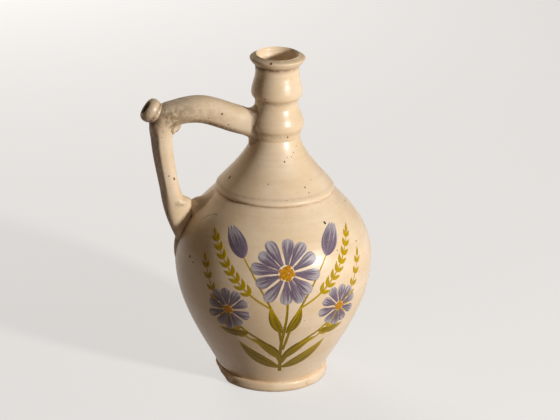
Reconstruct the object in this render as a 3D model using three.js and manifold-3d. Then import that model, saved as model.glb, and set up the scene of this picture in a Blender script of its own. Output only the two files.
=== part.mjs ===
// A glazed pottery jug with a tubular drinking handle, in millimetres, +Z up.
// The origin is the middle of the flat base. The handle stands out along -X.
// The wall is made in thrown sections that are luted edge to edge: base, belly, shoulder, neck and lip.
// The handle is a bridge from the neck and a hollow leg from the belly, which meet at an elbow.
// Water leaves the belly through the leg and is drunk from a nipple on the elbow.
import * as THREE from "three";
import { mergeVertices } from "three/addons/utils/BufferGeometryUtils.js";
import Module from "manifold-3d";

const wasm = await Module();
wasm.setup();

// Driving dimensions: heights of the wall's sections, from the table up
const BASE_HEIGHT = 9;
const BELLY_HEIGHT = 168;
const SHOULDER_HEIGHT = 48;
const NECK_HEIGHT = 64.5;
const LIP_HEIGHT = 10.5;

// Driving dimensions: base, a flat disc whose rolled edge stands out round the belly's foot
const BASE_EDGE_OVERHANG = 3.3;
const BASE_EDGE_HEIGHT = 5;
const BASE_SOLE_INSET = 3.5;
const BASE_CREASE_WIDTH = 0.3;

// Driving dimensions: belly, an egg that is widest above its middle
const BELLY_FOOT_RADIUS = 48.7;
const BELLY_RADIUS = 88.3;
const BELLY_WIDEST_HEIGHT = 104;
const BELLY_FOOT_FLARE = 19;
const BELLY_FOOT_RISE = 35;
const BELLY_LOWER_FULLNESS = 38;
const BELLY_UPPER_FULLNESS = 28;
const BELLY_TOP_LEAN = 19;
const BELLY_TOP_DROP = 18;
const WALL = 7;

// Driving dimensions: shoulder, a hollow cone on a rounded ledge
const SEAM_RADIUS = 52;
const LEDGE_OVERHANG = 0.8;
const LEDGE_MIDDLE_HEIGHT = 2.8;
const LEDGE_TOP_INSET = 1.4;
const LEDGE_HEIGHT = 5.8;
const CONE_SLOPE_IN = 11;
const CONE_SLOPE_UP = 12;
const CONE_TOP_FLARE = 3.5;
const CONE_TOP_DROP = 14;

// Driving dimensions: neck, two bulbs under a waisted collar
const NECK_FOOT_RADIUS = 21.4;
const LOWER_BULB_RADIUS = 24.7;
const LOWER_BULB_HEIGHT = 13.5;
const GROOVE_RADIUS = 19.4;
const GROOVE_HEIGHT = 29;
const UPPER_BULB_RADIUS = 22.9;
const UPPER_BULB_HEIGHT = 40.3;
const COLLAR_RADIUS = 19.7;
const COLLAR_HEIGHT = 56.5;
const NECK_TOP_RADIUS = 20.4;
const NECK_BORE_RADIUS = 14.5;

// Driving dimensions: lip, a rolled ring
const LIP_RADIUS = 24.8;
const LIP_WIDEST_HEIGHT = 6.5;
const LIP_CREST_RADIUS = 20.8;
const LIP_BORE_RADIUS = 17.2;
const LIP_FOOT_BORE_RADIUS = 16;

// Driving dimensions: bridge and elbow of the handle.
// Reach is measured from the jug's axis, and rise from the middle of the lower bulb.
const ROOT_EMBED = 14;
const ROOT_RISE = -0.5;
const ROOT_THICKNESS = 23.5;
const HEEL_REACH = 36;
const HEEL_RISE = 3;
const HEEL_THICKNESS = 24;
const CROWN_REACH = 66;
const CROWN_RISE = 12;
const CROWN_THICKNESS = 24;
const BEND_REACH = 87;
const BEND_RISE = 10.3;
const BEND_THICKNESS = 23.5;
const ELBOW_REACH = 98.5;
const ELBOW_RISE = 2.5;
const ELBOW_THICKNESS = 23;
const LEG_TOP_REACH = 100;
const LEG_TOP_RISE = -16;
const LEG_TOP_THICKNESS = 18.4;

// Driving dimensions: lower leg of the handle, measured out and up from its foot on the belly
const FOOT_BELOW_SEAM = 26;
const FOOT_STANDOFF = 9;
const FOOT_THICKNESS = 14.5;
const ANKLE_OUT = 4.3;
const ANKLE_UP = 16;
const ANKLE_THICKNESS = 16.6;
const WAIST_OUT = 8.4;
const WAIST_UP = 34;
const WAIST_THICKNESS = 17;
const TOE_EMBED = 8.2;
const TOE_DROP = 25;
const TOE_THICKNESS = 10;
const HANDLE_BREADTH_EXTRA = 1;

// Driving dimensions: the drinking bore, from the elbow down the leg and through the belly's wall
const DRINKING_BORE_RADIUS = 5;
const BORE_EXIT_DEPTH = 9;
const BORE_EXIT_DROP = 8;

// Driving dimensions: nipple, a bead on the elbow
const NIPPLE_PITCH = THREE.MathUtils.degToRad(34);
const NIPPLE_REACH = 18.5;
const NIPPLE_RADIUS = 11.2;
const NIPPLE_SHANK_RADIUS = 12.5;
const NIPPLE_ROOT_RADIUS = 10.3;
const NIPPLE_MOUTH_RADIUS = 8;
const NIPPLE_BEAD_LENGTH = 9;
const NIPPLE_EDGE_ROUND = 2.5;
const NIPPLE_BORE_RADIUS = 5.2;
const NIPPLE_RISE = 2;

// Driving dimensions: the luting clay that seals the handle's joints
const LUTING_FLARE = 2.8;
const LUTING_FEATHER = 1;
const TAIL_HALF_LENGTH = 20;
const TAIL_HALF_BREADTH = 5.5;
const TAIL_DEPTH = 4.2;
const TAIL_DROP = 20;
const WEB_DEPTH = 12;
const WEB_HALF_BREADTH = 8.5;
const WEB_HALF_HEIGHT = 8.5;
const WEB_RISE = 4.5;
const ELBOW_SMEAR_RADIUS = 9;
const ELBOW_SMEAR_HALF_BREADTH = 9;
const ELBOW_SMEAR_INSET = 7.5;

// The gap that every luted seat keeps
const SEAT_GAP = 0.4;

// How finely round forms are faceted, and the distance below which corners are one
const ROUND_STEPS = 40;
const CURVE_STEPS = 8;
const EDGE_STEPS = 4;
const NECK_STEPS = 20;
const HANDLE_SIDES = 18;
const BORE_SIDES = 12;
const STEPS_PER_STATION = 3;
const BLOB_SIDES = 14;
const BLOB_RINGS = 10;
const MERGE_DISTANCE = 1e-4;

// Levels of the joints between the wall's sections
const bellyFloor = BASE_HEIGHT;
const seamLevel = bellyFloor + BELLY_HEIGHT;
const neckFloor = seamLevel + SHOULDER_HEIGHT;
const lipFloor = neckFloor + NECK_HEIGHT;
const rootLevel = neckFloor + LOWER_BULB_HEIGHT;

const glaze = new THREE.MeshStandardMaterial({ color: 0xecd2a8, roughness: 0.22, metalness: 0 });
const wornGlaze = new THREE.MeshStandardMaterial({ color: 0xe0c294, roughness: 0.35, metalness: 0 });

const point = (r, z) => new THREE.Vector2(r, z);

// Boolean solids

function solidOf(geometry) {
  const bare = geometry.clone();
  bare.deleteAttribute("normal");
  bare.deleteAttribute("uv");
  const merged = mergeVertices(bare, MERGE_DISTANCE);
  return new wasm.Manifold(
    new wasm.Mesh({
      numProp: 3,
      vertProperties: merged.attributes.position.array,
      triVerts: new Uint32Array(merged.index.array),
    }),
  );
}

function geometryOf(solid) {
  const mesh = solid.getMesh();
  const geometry = new THREE.BufferGeometry();
  geometry.setAttribute("position", new THREE.BufferAttribute(mesh.vertProperties, 3));
  geometry.setIndex(new THREE.BufferAttribute(mesh.triVerts, 1));
  geometry.computeVertexNormals();
  return geometry;
}

// Turns a closed outline, drawn as radius and height, about the Z axis.
function revolve(outline, steps = ROUND_STEPS) {
  return new THREE.LatheGeometry(outline, steps).rotateX(Math.PI / 2);
}

// A ring of wall between an outer and an inner line, both drawn from the bottom up.
function ringOutline(outer, inner) {
  return [...outer, ...inner.slice().reverse(), outer[0].clone()];
}

// Outer and inner lines of the wall's sections, each from its own lower joint up

function baseOuterLine() {
  const edgeRadius = BELLY_FOOT_RADIUS + BASE_EDGE_OVERHANG;
  const rolledEdge = new THREE.CubicBezierCurve(
    point(edgeRadius - BASE_SOLE_INSET, 0),
    point(edgeRadius, 0),
    point(edgeRadius, 0),
    point(edgeRadius, BASE_EDGE_HEIGHT),
  );
  const crease = new THREE.QuadraticBezierCurve(
    point(edgeRadius, BASE_EDGE_HEIGHT),
    point(edgeRadius, BASE_HEIGHT),
    point(BELLY_FOOT_RADIUS + BASE_CREASE_WIDTH, BASE_HEIGHT),
  );
  return [...rolledEdge.getPoints(EDGE_STEPS), ...crease.getPoints(EDGE_STEPS).slice(1)];
}

// The belly's line, drawn in towards the axis by inset.
function bellyLine(inset) {
  const widest = point(BELLY_RADIUS - inset, BELLY_WIDEST_HEIGHT);
  const lower = new THREE.CubicBezierCurve(
    point(BELLY_FOOT_RADIUS - inset, 0),
    point(BELLY_FOOT_RADIUS - inset + BELLY_FOOT_FLARE, BELLY_FOOT_RISE),
    point(widest.x, widest.y - BELLY_LOWER_FULLNESS),
    widest,
  );
  const upper = new THREE.CubicBezierCurve(
    widest,
    point(widest.x, widest.y + BELLY_UPPER_FULLNESS),
    point(SEAM_RADIUS - inset + BELLY_TOP_LEAN, BELLY_HEIGHT - BELLY_TOP_DROP),
    point(SEAM_RADIUS - inset, BELLY_HEIGHT),
  );
  return [...lower.getPoints(CURVE_STEPS), ...upper.getPoints(CURVE_STEPS).slice(1)];
}

function coneLine(footRadius, footHeight, topRadius) {
  const cone = new THREE.CubicBezierCurve(
    point(footRadius, footHeight),
    point(footRadius - CONE_SLOPE_IN, footHeight + CONE_SLOPE_UP),
    point(topRadius + CONE_TOP_FLARE, SHOULDER_HEIGHT - CONE_TOP_DROP),
    point(topRadius, SHOULDER_HEIGHT),
  );
  return cone.getPoints(CURVE_STEPS);
}

function shoulderOuterLine() {
  const ledgeTop = point(SEAM_RADIUS - LEDGE_TOP_INSET, LEDGE_HEIGHT);
  const ledge = new THREE.SplineCurve([
    point(SEAM_RADIUS, 0),
    point(SEAM_RADIUS + LEDGE_OVERHANG, LEDGE_MIDDLE_HEIGHT),
    ledgeTop,
  ]);
  const cone = coneLine(ledgeTop.x, ledgeTop.y, NECK_FOOT_RADIUS);
  return [...ledge.getPoints(EDGE_STEPS), ...cone.slice(1)];
}

function neckOuterLine() {
  const bulbs = new THREE.SplineCurve([
    point(NECK_FOOT_RADIUS, 0),
    point(LOWER_BULB_RADIUS, LOWER_BULB_HEIGHT),
    point(GROOVE_RADIUS, GROOVE_HEIGHT),
    point(UPPER_BULB_RADIUS, UPPER_BULB_HEIGHT),
    point(COLLAR_RADIUS, COLLAR_HEIGHT),
    point(NECK_TOP_RADIUS, NECK_HEIGHT),
  ]);
  return bulbs.getPoints(NECK_STEPS);
}

function neckInnerLine() {
  const throat = new THREE.QuadraticBezierCurve(
    point(NECK_BORE_RADIUS, COLLAR_HEIGHT),
    point(NECK_BORE_RADIUS, NECK_HEIGHT),
    point(LIP_FOOT_BORE_RADIUS, NECK_HEIGHT),
  );
  return [point(NECK_BORE_RADIUS, 0), ...throat.getPoints(EDGE_STEPS)];
}

function lipOuterLine() {
  const roll = new THREE.SplineCurve([
    point(NECK_TOP_RADIUS, 0),
    point(LIP_RADIUS, LIP_WIDEST_HEIGHT),
    point(LIP_CREST_RADIUS, LIP_HEIGHT),
  ]);
  return roll.getPoints(CURVE_STEPS);
}

function lipInnerLine() {
  const roll = new THREE.QuadraticBezierCurve(
    point(LIP_BORE_RADIUS, LIP_WIDEST_HEIGHT),
    point(LIP_BORE_RADIUS, LIP_HEIGHT),
    point(LIP_CREST_RADIUS, LIP_HEIGHT),
  );
  return [point(LIP_FOOT_BORE_RADIUS, 0), ...roll.getPoints(CURVE_STEPS).slice(0, -1)];
}

// Radius of a line of rising points at a height above its lower joint.
function radiusAt(line, height) {
  const above = line.findIndex((p) => p.y >= height);
  const [a, b] = [line[above - 1], line[above]];
  return THREE.MathUtils.mapLinear(height, a.y, b.y, a.x, b.x);
}

// The whole jug's outside as one filled form, grown by the seat gap, which cuts what is luted to it.
function wallCutter() {
  const raise = (line, level) => line.map((p) => point(p.x + SEAT_GAP, p.y + level));
  const outline = [
    point(0, 0),
    ...raise(baseOuterLine(), 0),
    ...raise(bellyLine(0), bellyFloor),
    ...raise(shoulderOuterLine(), seamLevel).slice(1),
    ...raise(neckOuterLine(), neckFloor).slice(1),
    ...raise(lipOuterLine(), lipFloor).slice(1),
    point(0, lipFloor + LIP_HEIGHT),
  ];
  return solidOf(revolve(outline));
}

// Handle: a chain of stations in the XZ plane, from inside the neck to inside the belly

const footLevel = seamLevel - FOOT_BELOW_SEAM;
const footReach = radiusAt(bellyLine(0), footLevel - bellyFloor) + FOOT_STANDOFF;

const fromRoot = (reach, rise, thickness) => ({ reach, level: rootLevel + rise, thickness });
const fromFoot = (out, up, thickness) => ({ reach: footReach + out, level: footLevel + up, thickness });

const stations = [
  fromRoot(LOWER_BULB_RADIUS - ROOT_EMBED, ROOT_RISE, ROOT_THICKNESS),
  fromRoot(LOWER_BULB_RADIUS, ROOT_RISE, ROOT_THICKNESS),
  fromRoot(HEEL_REACH, HEEL_RISE, HEEL_THICKNESS),
  fromRoot(CROWN_REACH, CROWN_RISE, CROWN_THICKNESS),
  fromRoot(BEND_REACH, BEND_RISE, BEND_THICKNESS),
  fromRoot(ELBOW_REACH, ELBOW_RISE, ELBOW_THICKNESS),
  fromRoot(LEG_TOP_REACH, LEG_TOP_RISE, LEG_TOP_THICKNESS),
  fromFoot(WAIST_OUT, WAIST_UP, WAIST_THICKNESS),
  fromFoot(ANKLE_OUT, ANKLE_UP, ANKLE_THICKNESS),
  fromFoot(0, 0, FOOT_THICKNESS),
  fromFoot(-TOE_EMBED, -TOE_DROP, TOE_THICKNESS),
];
const ROOT = 1;
const HEEL = 2;
const BEND = 4;
const ELBOW = 5;
const ANKLE = 8;
const FOOT = 9;
const TOE = 10;

const lineThrough = (places) =>
  new THREE.CatmullRomCurve3(places.map((s) => new THREE.Vector3(-s.reach, 0, s.level)));
const handleLine = lineThrough(stations);
const thicknessLine = new THREE.SplineCurve(stations.map((s, i) => point(i, s.thickness)));
const across = new THREE.Vector3(0, 1, 0);
const awayFromLoop = (line, share) => new THREE.Vector3().crossVectors(across, line.getTangent(share));
const handleRadius = (share) => thicknessLine.getPoint(share).y / 2;

// How far a ring on a line can reach into the loop before it meets the plane of a neighbouring ring.
function reachToCrease(line, share, neighbour) {
  const apart = line.getPoint(share).sub(line.getPoint(neighbour));
  const facing = line.getTangent(neighbour);
  const reach = apart.dot(facing) / awayFromLoop(line, share).dot(facing);
  return reach > 0 ? reach : Infinity;
}

// A closed tube along a line between two shares of it, with its half thickness given along the way.
// In a sharp bend its inner side stops at the crease where neighbouring rings would cross.
function tubeAlong(line, from, to, rings, sides, halfThickness, grow, extraBreadth) {
  const positions = [];
  const faces = [];
  const step = (to - from) / rings;
  for (let i = 0; i <= rings; i++) {
    const share = from + i * step;
    const centre = line.getPoint(share);
    const outward = awayFromLoop(line, share);
    const before = reachToCrease(line, share, Math.max(share - step, 0));
    const after = reachToCrease(line, share, Math.min(share + step, 1));
    const outer = halfThickness(share) + grow;
    const inner = Math.min(halfThickness(share), before - SEAT_GAP, after - SEAT_GAP) + grow;
    for (let k = 0; k < sides; k++) {
      const turn = (2 * Math.PI * k) / sides;
      const half = Math.cos(turn) > 0 ? outer : inner;
      const rim = centre.clone().addScaledVector(outward, half * Math.cos(turn));
      rim.addScaledVector(across, (outer + extraBreadth / 2) * Math.sin(turn));
      positions.push(rim.x, rim.y, rim.z);
    }
  }
  for (let i = 0; i < rings; i++) {
    for (let k = 0; k < sides; k++) {
      const next = (k + 1) % sides;
      const [a, b] = [i * sides + k, i * sides + next];
      faces.push(a, b, b + sides, a, b + sides, a + sides);
    }
  }
  for (let k = 1; k < sides - 1; k++) {
    const last = rings * sides;
    faces.push(0, k + 1, k, last, last + k, last + k + 1);
  }
  const tube = new THREE.BufferGeometry();
  tube.setAttribute("position", new THREE.Float32BufferAttribute(positions, 3));
  tube.setIndex(faces);
  return solidOf(tube);
}

// A tube along the handle between two of its stations.
function handleTube(from, to, halfThickness, grow) {
  const rings = (to - from) * STEPS_PER_STATION;
  const ends = [from / TOE, to / TOE];
  return tubeAlong(handleLine, ...ends, rings, HANDLE_SIDES, halfThickness, grow, HANDLE_BREADTH_EXTRA);
}

const plainHandle = (from, to, grow) => handleTube(from, to, handleRadius, grow);

function drinkingBore() {
  const exit = {
    reach: radiusAt(bellyLine(WALL), footLevel - bellyFloor) - BORE_EXIT_DEPTH,
    level: footLevel - BORE_EXIT_DROP,
  };
  const places = [...stations.slice(ELBOW, TOE), exit];
  const rings = (places.length - 1) * STEPS_PER_STATION;
  return tubeAlong(lineThrough(places), 0, 1, rings, BORE_SIDES, () => DRINKING_BORE_RADIUS, 0, 0);
}

// Nipple: a bead turned about its own axis, which starts at the elbow and points out and up

const nippleStart = new THREE.Vector3(-ELBOW_REACH, 0, rootLevel + ELBOW_RISE + NIPPLE_RISE);
const nippleTurn = new THREE.Matrix4().makeRotationY(NIPPLE_PITCH - Math.PI / 2).setPosition(nippleStart);

function nippleBead() {
  const foot = NIPPLE_REACH - NIPPLE_BEAD_LENGTH;
  const bead = new THREE.SplineCurve([
    point(NIPPLE_ROOT_RADIUS, foot),
    point(NIPPLE_RADIUS, foot + NIPPLE_BEAD_LENGTH / 2),
    point(NIPPLE_MOUTH_RADIUS + NIPPLE_EDGE_ROUND / 2, NIPPLE_REACH - NIPPLE_EDGE_ROUND / 2),
    point(NIPPLE_MOUTH_RADIUS, NIPPLE_REACH),
  ]);
  const outer = [point(NIPPLE_SHANK_RADIUS, 0), ...bead.getPoints(CURVE_STEPS)];
  const inner = [point(NIPPLE_BORE_RADIUS, 0), point(NIPPLE_BORE_RADIUS, NIPPLE_REACH)];
  return solidOf(revolve(ringOutline(outer, inner), HANDLE_SIDES).applyMatrix4(nippleTurn));
}

function nippleBore() {
  const bore = new THREE.CylinderGeometry(NIPPLE_BORE_RADIUS, NIPPLE_BORE_RADIUS, NIPPLE_REACH, HANDLE_SIDES);
  bore.rotateX(Math.PI / 2).translate(0, 0, NIPPLE_REACH / 2);
  return solidOf(bore.applyMatrix4(nippleTurn));
}

// Luting clay round the handle's joints

// A skirt round the handle that swells from a feathered edge at one station to a seat at the wall.
function lutingSkirt(feathered, seated, end) {
  const swell = (share) => {
    const along = Math.min(THREE.MathUtils.inverseLerp(feathered, seated, share * TOE), 1);
    return handleRadius(share) + THREE.MathUtils.lerp(LUTING_FEATHER, LUTING_FLARE, along * along);
  };
  return handleTube(Math.min(feathered, end), Math.max(feathered, end), swell, 0);
}

// A lump of clay on the handle's side of the belly, with its middle on the wall's face at a level.
function bellyLump(level, depth, halfBreadth, halfHeight) {
  const lump = new THREE.SphereGeometry(1, BLOB_SIDES, BLOB_RINGS).rotateX(Math.PI / 2);
  lump.scale(depth, halfBreadth, halfHeight);
  return solidOf(lump.translate(-radiusAt(bellyLine(0), level - bellyFloor), 0, level));
}

// The tongue of clay wiped down the belly below the leg's foot.
const lutingTail = () => bellyLump(footLevel - TAIL_DROP, TAIL_DEPTH, TAIL_HALF_BREADTH, TAIL_HALF_LENGTH);

// The web of clay that fills the corner between the leg's inner side and the belly.
const lutingWeb = () => bellyLump(footLevel + WEB_RISE, WEB_DEPTH, WEB_HALF_BREADTH, WEB_HALF_HEIGHT);

// The smear of clay in the crook of the elbow.
function elbowSmear() {
  const share = ELBOW / TOE;
  const inward = awayFromLoop(handleLine, share).multiplyScalar(-ELBOW_SMEAR_INSET);
  const middle = handleLine.getPoint(share).add(inward);
  const smear = new THREE.SphereGeometry(1, BLOB_SIDES, BLOB_RINGS);
  smear.scale(ELBOW_SMEAR_RADIUS, ELBOW_SMEAR_HALF_BREADTH, ELBOW_SMEAR_RADIUS);
  return solidOf(smear.translate(middle.x, middle.y, middle.z));
}

// Assembly

const jug = new THREE.Group();

function addPiece(name, geometry, material, level = 0) {
  const piece = new THREE.Mesh(geometry, material);
  piece.name = name;
  piece.position.z = level;
  jug.add(piece);
}

const wall = wallCutter();
const handleSeat = plainHandle(0, TOE, SEAT_GAP);

addPiece("base_disc", revolve([point(0, 0), ...baseOuterLine(), point(0, BASE_HEIGHT)]), glaze);

const bellyRing = solidOf(revolve(ringOutline(bellyLine(0), bellyLine(WALL))));
const bellyBore = drinkingBore().translate([0, 0, -bellyFloor]);
addPiece("belly", geometryOf(bellyRing.subtract(bellyBore)), glaze, bellyFloor);

const shoulderInnerLine = coneLine(SEAM_RADIUS - WALL, 0, NECK_BORE_RADIUS);
addPiece("shoulder", revolve(ringOutline(shoulderOuterLine(), shoulderInnerLine)), glaze, seamLevel);
addPiece("neck", revolve(ringOutline(neckOuterLine(), neckInnerLine())), glaze, neckFloor);
addPiece("lip", revolve(ringOutline(lipOuterLine(), lipInnerLine())), wornGlaze, lipFloor);

addPiece("handle_bridge", geometryOf(plainHandle(0, BEND, 0).subtract(wall)), glaze);

const leg = plainHandle(BEND, TOE, 0).subtract(wall).subtract(drinkingBore()).subtract(nippleBore());
addPiece("handle_leg", geometryOf(leg), glaze);
addPiece("drinking_nipple", geometryOf(nippleBead().subtract(handleSeat)), wornGlaze);

const neckLuting = lutingSkirt(HEEL, ROOT, 0).subtract(handleSeat).subtract(wall);
addPiece("neck_luting", geometryOf(neckLuting), glaze);
const bellyClay = lutingSkirt(ANKLE, FOOT, TOE).add(lutingTail()).add(lutingWeb());
addPiece("belly_luting", geometryOf(bellyClay.subtract(handleSeat).subtract(wall)), glaze);
addPiece("elbow_luting", geometryOf(elbowSmear().subtract(handleSeat)), wornGlaze);

export default jug;
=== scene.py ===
import math
import random

import bpy
import numpy as np
from mathutils import Matrix, Vector


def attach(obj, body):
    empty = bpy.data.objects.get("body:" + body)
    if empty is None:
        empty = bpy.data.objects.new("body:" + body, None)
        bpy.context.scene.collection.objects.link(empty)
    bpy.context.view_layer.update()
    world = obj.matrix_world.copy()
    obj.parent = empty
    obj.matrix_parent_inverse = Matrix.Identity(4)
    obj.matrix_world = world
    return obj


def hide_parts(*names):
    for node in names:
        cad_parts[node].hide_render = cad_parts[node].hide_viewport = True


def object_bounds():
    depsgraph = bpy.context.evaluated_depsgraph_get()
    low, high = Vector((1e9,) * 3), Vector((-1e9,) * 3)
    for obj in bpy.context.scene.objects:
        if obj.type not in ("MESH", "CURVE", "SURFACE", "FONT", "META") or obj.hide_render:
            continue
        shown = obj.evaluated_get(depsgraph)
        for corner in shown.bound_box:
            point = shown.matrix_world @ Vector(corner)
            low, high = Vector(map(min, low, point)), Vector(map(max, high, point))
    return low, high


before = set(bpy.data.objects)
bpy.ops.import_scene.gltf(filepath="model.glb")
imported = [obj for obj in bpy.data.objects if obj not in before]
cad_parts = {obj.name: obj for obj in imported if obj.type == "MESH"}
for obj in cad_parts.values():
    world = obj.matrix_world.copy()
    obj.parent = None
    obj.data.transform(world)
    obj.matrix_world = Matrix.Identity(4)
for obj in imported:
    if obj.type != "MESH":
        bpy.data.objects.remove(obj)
cad_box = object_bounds()

# The glazed jug's looks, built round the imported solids, in metres, +Z up, with the handle along -X.
# Bearings are in degrees round the axis: -90 faces the front and 180 the handle.
MM = 0.001
WALL_SIDES = 192
POINTS_PER_SPAN = 7

# Slight hand-thrown unevenness of the wall, always inwards from the solids
SKIN_INSET = 0.25 * MM
OVALITY = 0.45 * MM
THROWING_RIDGE = 0.05 * MM
THROWING_PITCH = 5.5 * MM

# Undercuts below the neck's two bulbs and below the lip: height, depth and half width
UNDERCUTS = np.array([(259.5, 0.9, 2.2), (231.5, 0.8, 2.4), (289.2, 0.35, 1.8)]) * MM

# The lip's top slopes outwards from a height up. How far its crest lies inside and below the solid's is
# given at the back and at the front. Smudges fade out over the last depth.
LIP_SLOPE_START = 295.0 * MM
LIP_INSET = (2.2 * MM, 0.8 * MM)
LIP_SINK = (0, 1.2 * MM)
LIP_SMUDGE_DEPTH = 2.5 * MM

# Chips knocked off the foot's edge: bearing and half width in degrees, depth and half height in mm. The
# first has taken a length of the rolled edge with it. Their sides wander by some degrees, and the glaze
# is gone at a depth in them and at the sole.
FOOT_CHIPS = (
    (-171, 21, 4.6, 7.0), (-137, 3, 0.9, 2.6), (-58, 3, 0.6, 2.6),
    (-16, 5, 1.1, 2.6), (72, 6, 1.2, 2.6), (118, 3, 0.7, 2.6),
)
FOOT_CHIP_HEIGHT = 3.4 * MM
FOOT_EDGE_TOP = 9.3 * MM
FOOT_EDGE_FADE = 1.5 * MM
CHIP_WANDER = 1.2
BARE_CHIP_DEPTH = 1.2 * MM
BARE_SOLE_HEIGHT = 1.4 * MM

# Darkening in the wall's creases: height and half width in mm, strength. It is weakest
# opposite the darkest bearing.
CREASE_DARKENING = (
    (299.5, 1.0, 0.20), (289.3, 1.9, 0.95), (259.0, 2.2, 0.42), (231.0, 2.2, 0.38),
    (183.0, 1.1, 0.30), (177.2, 1.0, 0.55), (9.3, 1.0, 0.20), (1.0, 1.6, 0.45),
)
DARKEST_CREASE_BEARING = -130
WEAKEST_CREASE_SHARE = 0.15

# Painted shade along seams, as reach and strength: on the wall round the handle, and on the luting at its
# two ends
TOUCH_SEAM = (3.2 * MM, 0.4)
NECK_SEAM = (1.6 * MM, 0.6)
FOOT_SEAM = (1.3 * MM, 0.8)

# Darkening on the handle: station, half length, strength, and the cosines of the turns where it starts and
# is full. A negative pair lies on the loop's inner side. The rows at stations 5.8 and 7.4 paint shade on
# the leg's outer side, turned from the key lamp, over some dirt.
HANDLE_DARKENING = (
    (2.6, 1.2, 0.75, -0.38, -0.62),
    (5.8, 0.9, 0.50, 0.22, 0.42),
    (7.4, 0.9, 0.30, 0.22, 0.42),
    (5.1, 0.25, 0.55, -0.10, 0.50),
)

# Painted shadow of the neck in the crook above the bridge: stations and turns of its front edge, the
# edge's softness, the turns where it fades at the back, the stations where it ends, and its strength.
# Turns are in degrees.
CROOK_STATIONS = (0.7, 2.2)
CROOK_TURNS = (-60, 14)
CROOK_EDGE = 8
CROOK_BACK = (100, 40)
CROOK_END = (2.6, 1.8)
CROOK_SHADOW = 0.45

# Smudges round the elbow: middle station, half lengths before and after it, and share on top. The smaller
# share on top paints the top lighter, as if lit from above.
SMUDGE_STATION = 4.6
SMUDGE_LENGTHS = (1.6, 0.55)
SMUDGE_ON_TOP = 0.3

# Stations of the handle's middle line: reach from the axis, height, thickness
HANDLE_STATIONS = np.array([
    (10.7, 238.0, 23.5), (24.7, 238.0, 23.5), (36.0, 241.5, 24.0), (66.0, 250.5, 24.0),
    (87.0, 248.8, 23.5), (98.5, 241.0, 23.0), (100.0, 222.5, 18.4), (94.6, 185.0, 17.0),
    (90.5, 167.0, 16.6), (86.2, 151.0, 14.5), (78.0, 126.0, 10.0),
]) * MM
HANDLE_ELBOW = 5
HANDLE_BREADTH_EXTRA = 1.0 * MM
HANDLE_SQUARENESS = 2.35
HANDLE_SIDES = 64
RINGS_PER_STATION = 28

# The leg's outer corners are pressed flat between two stations, each with the one where that is in full.
# The bevel's normal turns away from the loop's plane, and the bevel's place is in half thicknesses.
LEG_BEVEL_START = (5.1, 5.9)
LEG_BEVEL_END = (9.0, 6.6)
LEG_BEVEL_TURN = math.radians(39)
LEG_BEVEL_PLACE = 0.84
LEG_BEVEL_SHARPNESS = 24
LEG_INNER_FULLNESS = 0.8 * MM

# The bridge's top is pressed flatter before the elbow: station, half length in stations, depth. Fingers
# have left waves all along the handle.
ELBOW_PRESS = (3.9, 0.55, 1.5 * MM)
FINGER_WAVES = 0.2 * MM

# Luting clay at the neck: the fillet's reach above, beside and below the bridge, and its last station.
# Clay is sunk a little, so that its edges run out, and the fillet grows by steps.
NECK_FILLET = np.array([7.0, 3.0, 12.0]) * MM
NECK_LUTING_END = 3
FILLET_SINK = 0.12 * MM
FILLET_STEP = 0.1 * MM

# Luting clay at the leg's foot: a collar that swells between two stations, its inner side drawn out a
# little and then, round a corner, to the belly. Its cracked part has a station and a turn in degrees, each
# with a half width. The low web beside it has rows of height on the wall, rise and half breadth.
COLLAR_SWELL = 1.8 * MM
COLLAR_START = 7.0
COLLAR_FULL = 9.0
COLLAR_DRAWN_FIRST = 0.8 * MM
COLLAR_DRAWN_DOWN = 6.2 * MM
COLLAR_CORNER = (7.84, 8.26)
CRACKED_STATION = (8.14, 0.16)
CRACKED_TURN = (238, 26)
WEB_ROWS = np.array([
    (153.0, 0.0, 8.0), (157.0, 6.4, 9.0), (160.5, 8.6, 9.5), (163.5, 7.5, 10.5), (166.0, 4.8, 11.0),
    (168.0, 2.9, 11.0), (170.0, 1.6, 10.5), (172.0, 0.7, 9.5), (175.0, 0.0, 7.0),
]) * MM

# The tongue of clay wiped down the belly below the leg, and how deep clay on the belly is rooted
TONGUE_TOP = 154.0 * MM
TONGUE_TIP = 112.0 * MM
TONGUE_HALF_BREADTH = 6.0 * MM
TONGUE_THICKNESS = 5.6 * MM
PATCH_DEPTH = 1.5 * MM

# Nipple, turned about an axis that points out and up from the elbow: radius and place along the axis. Its
# bead, pressed out of round, and its crease have a place and a half width.
NIPPLE_START = Vector((-98.5, 0.0, 243.0)) * MM
NIPPLE_PITCH = math.radians(34)
NIPPLE_PROFILE = np.array([
    (9.4, 0.0), (9.5, 4.5), (9.8, 8.4), (10.0, 9.4), (10.5, 10.4), (11.0, 12.4), (11.0, 14.4),
    (9.9, 16.7), (8.6, 17.9), (7.5, 18.1), (6.7, 17.4), (5.8, 16.0), (5.2, 13.0), (5.1, 3.0),
]) * MM
NIPPLE_CREASE = (9.4 * MM, 1.4 * MM)
NIPPLE_BEAD = (13.5 * MM, 4.0 * MM)
NIPPLE_PRESS = 0.3 * MM
# Inside the mouth's radius the lining is painted dark as shade.
NIPPLE_MOUTH_RADIUS = 6.4 * MM
NIPPLE_BORE_RADIUS = 5.2 * MM
NIPPLE_BORE_LENGTH = 40.0 * MM
NIPPLE_BORE_MIDDLE = 18.0 * MM

# The torn smear of clay in the crook of the elbow: place off the handle's middle line, and half sizes
SMEAR_INSET = 7.5 * MM
SMEAR_RISE = 2.0 * MM
SMEAR_HALF = np.array([9.4, 9.4, 11.0]) * MM

# Painted spray: height of its foot on the belly, bearing, scale, the lifts of its layers of paint, the
# step from stroke to stroke and the depth of their roots
PAINT_FOOT_HEIGHT = 20.0 * MM
PAINT_BEARING = -90.0
PAINT_SCALE = 1.2
STEM_LIFT = 0.08 * MM
LEAF_LIFT = 0.10 * MM
PETAL_LIFT = 0.16 * MM
EYE_LIFT = 0.24 * MM
STROKE_STEP = 0.0006 * MM
PAINT_ROOT = 0.15 * MM

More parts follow.
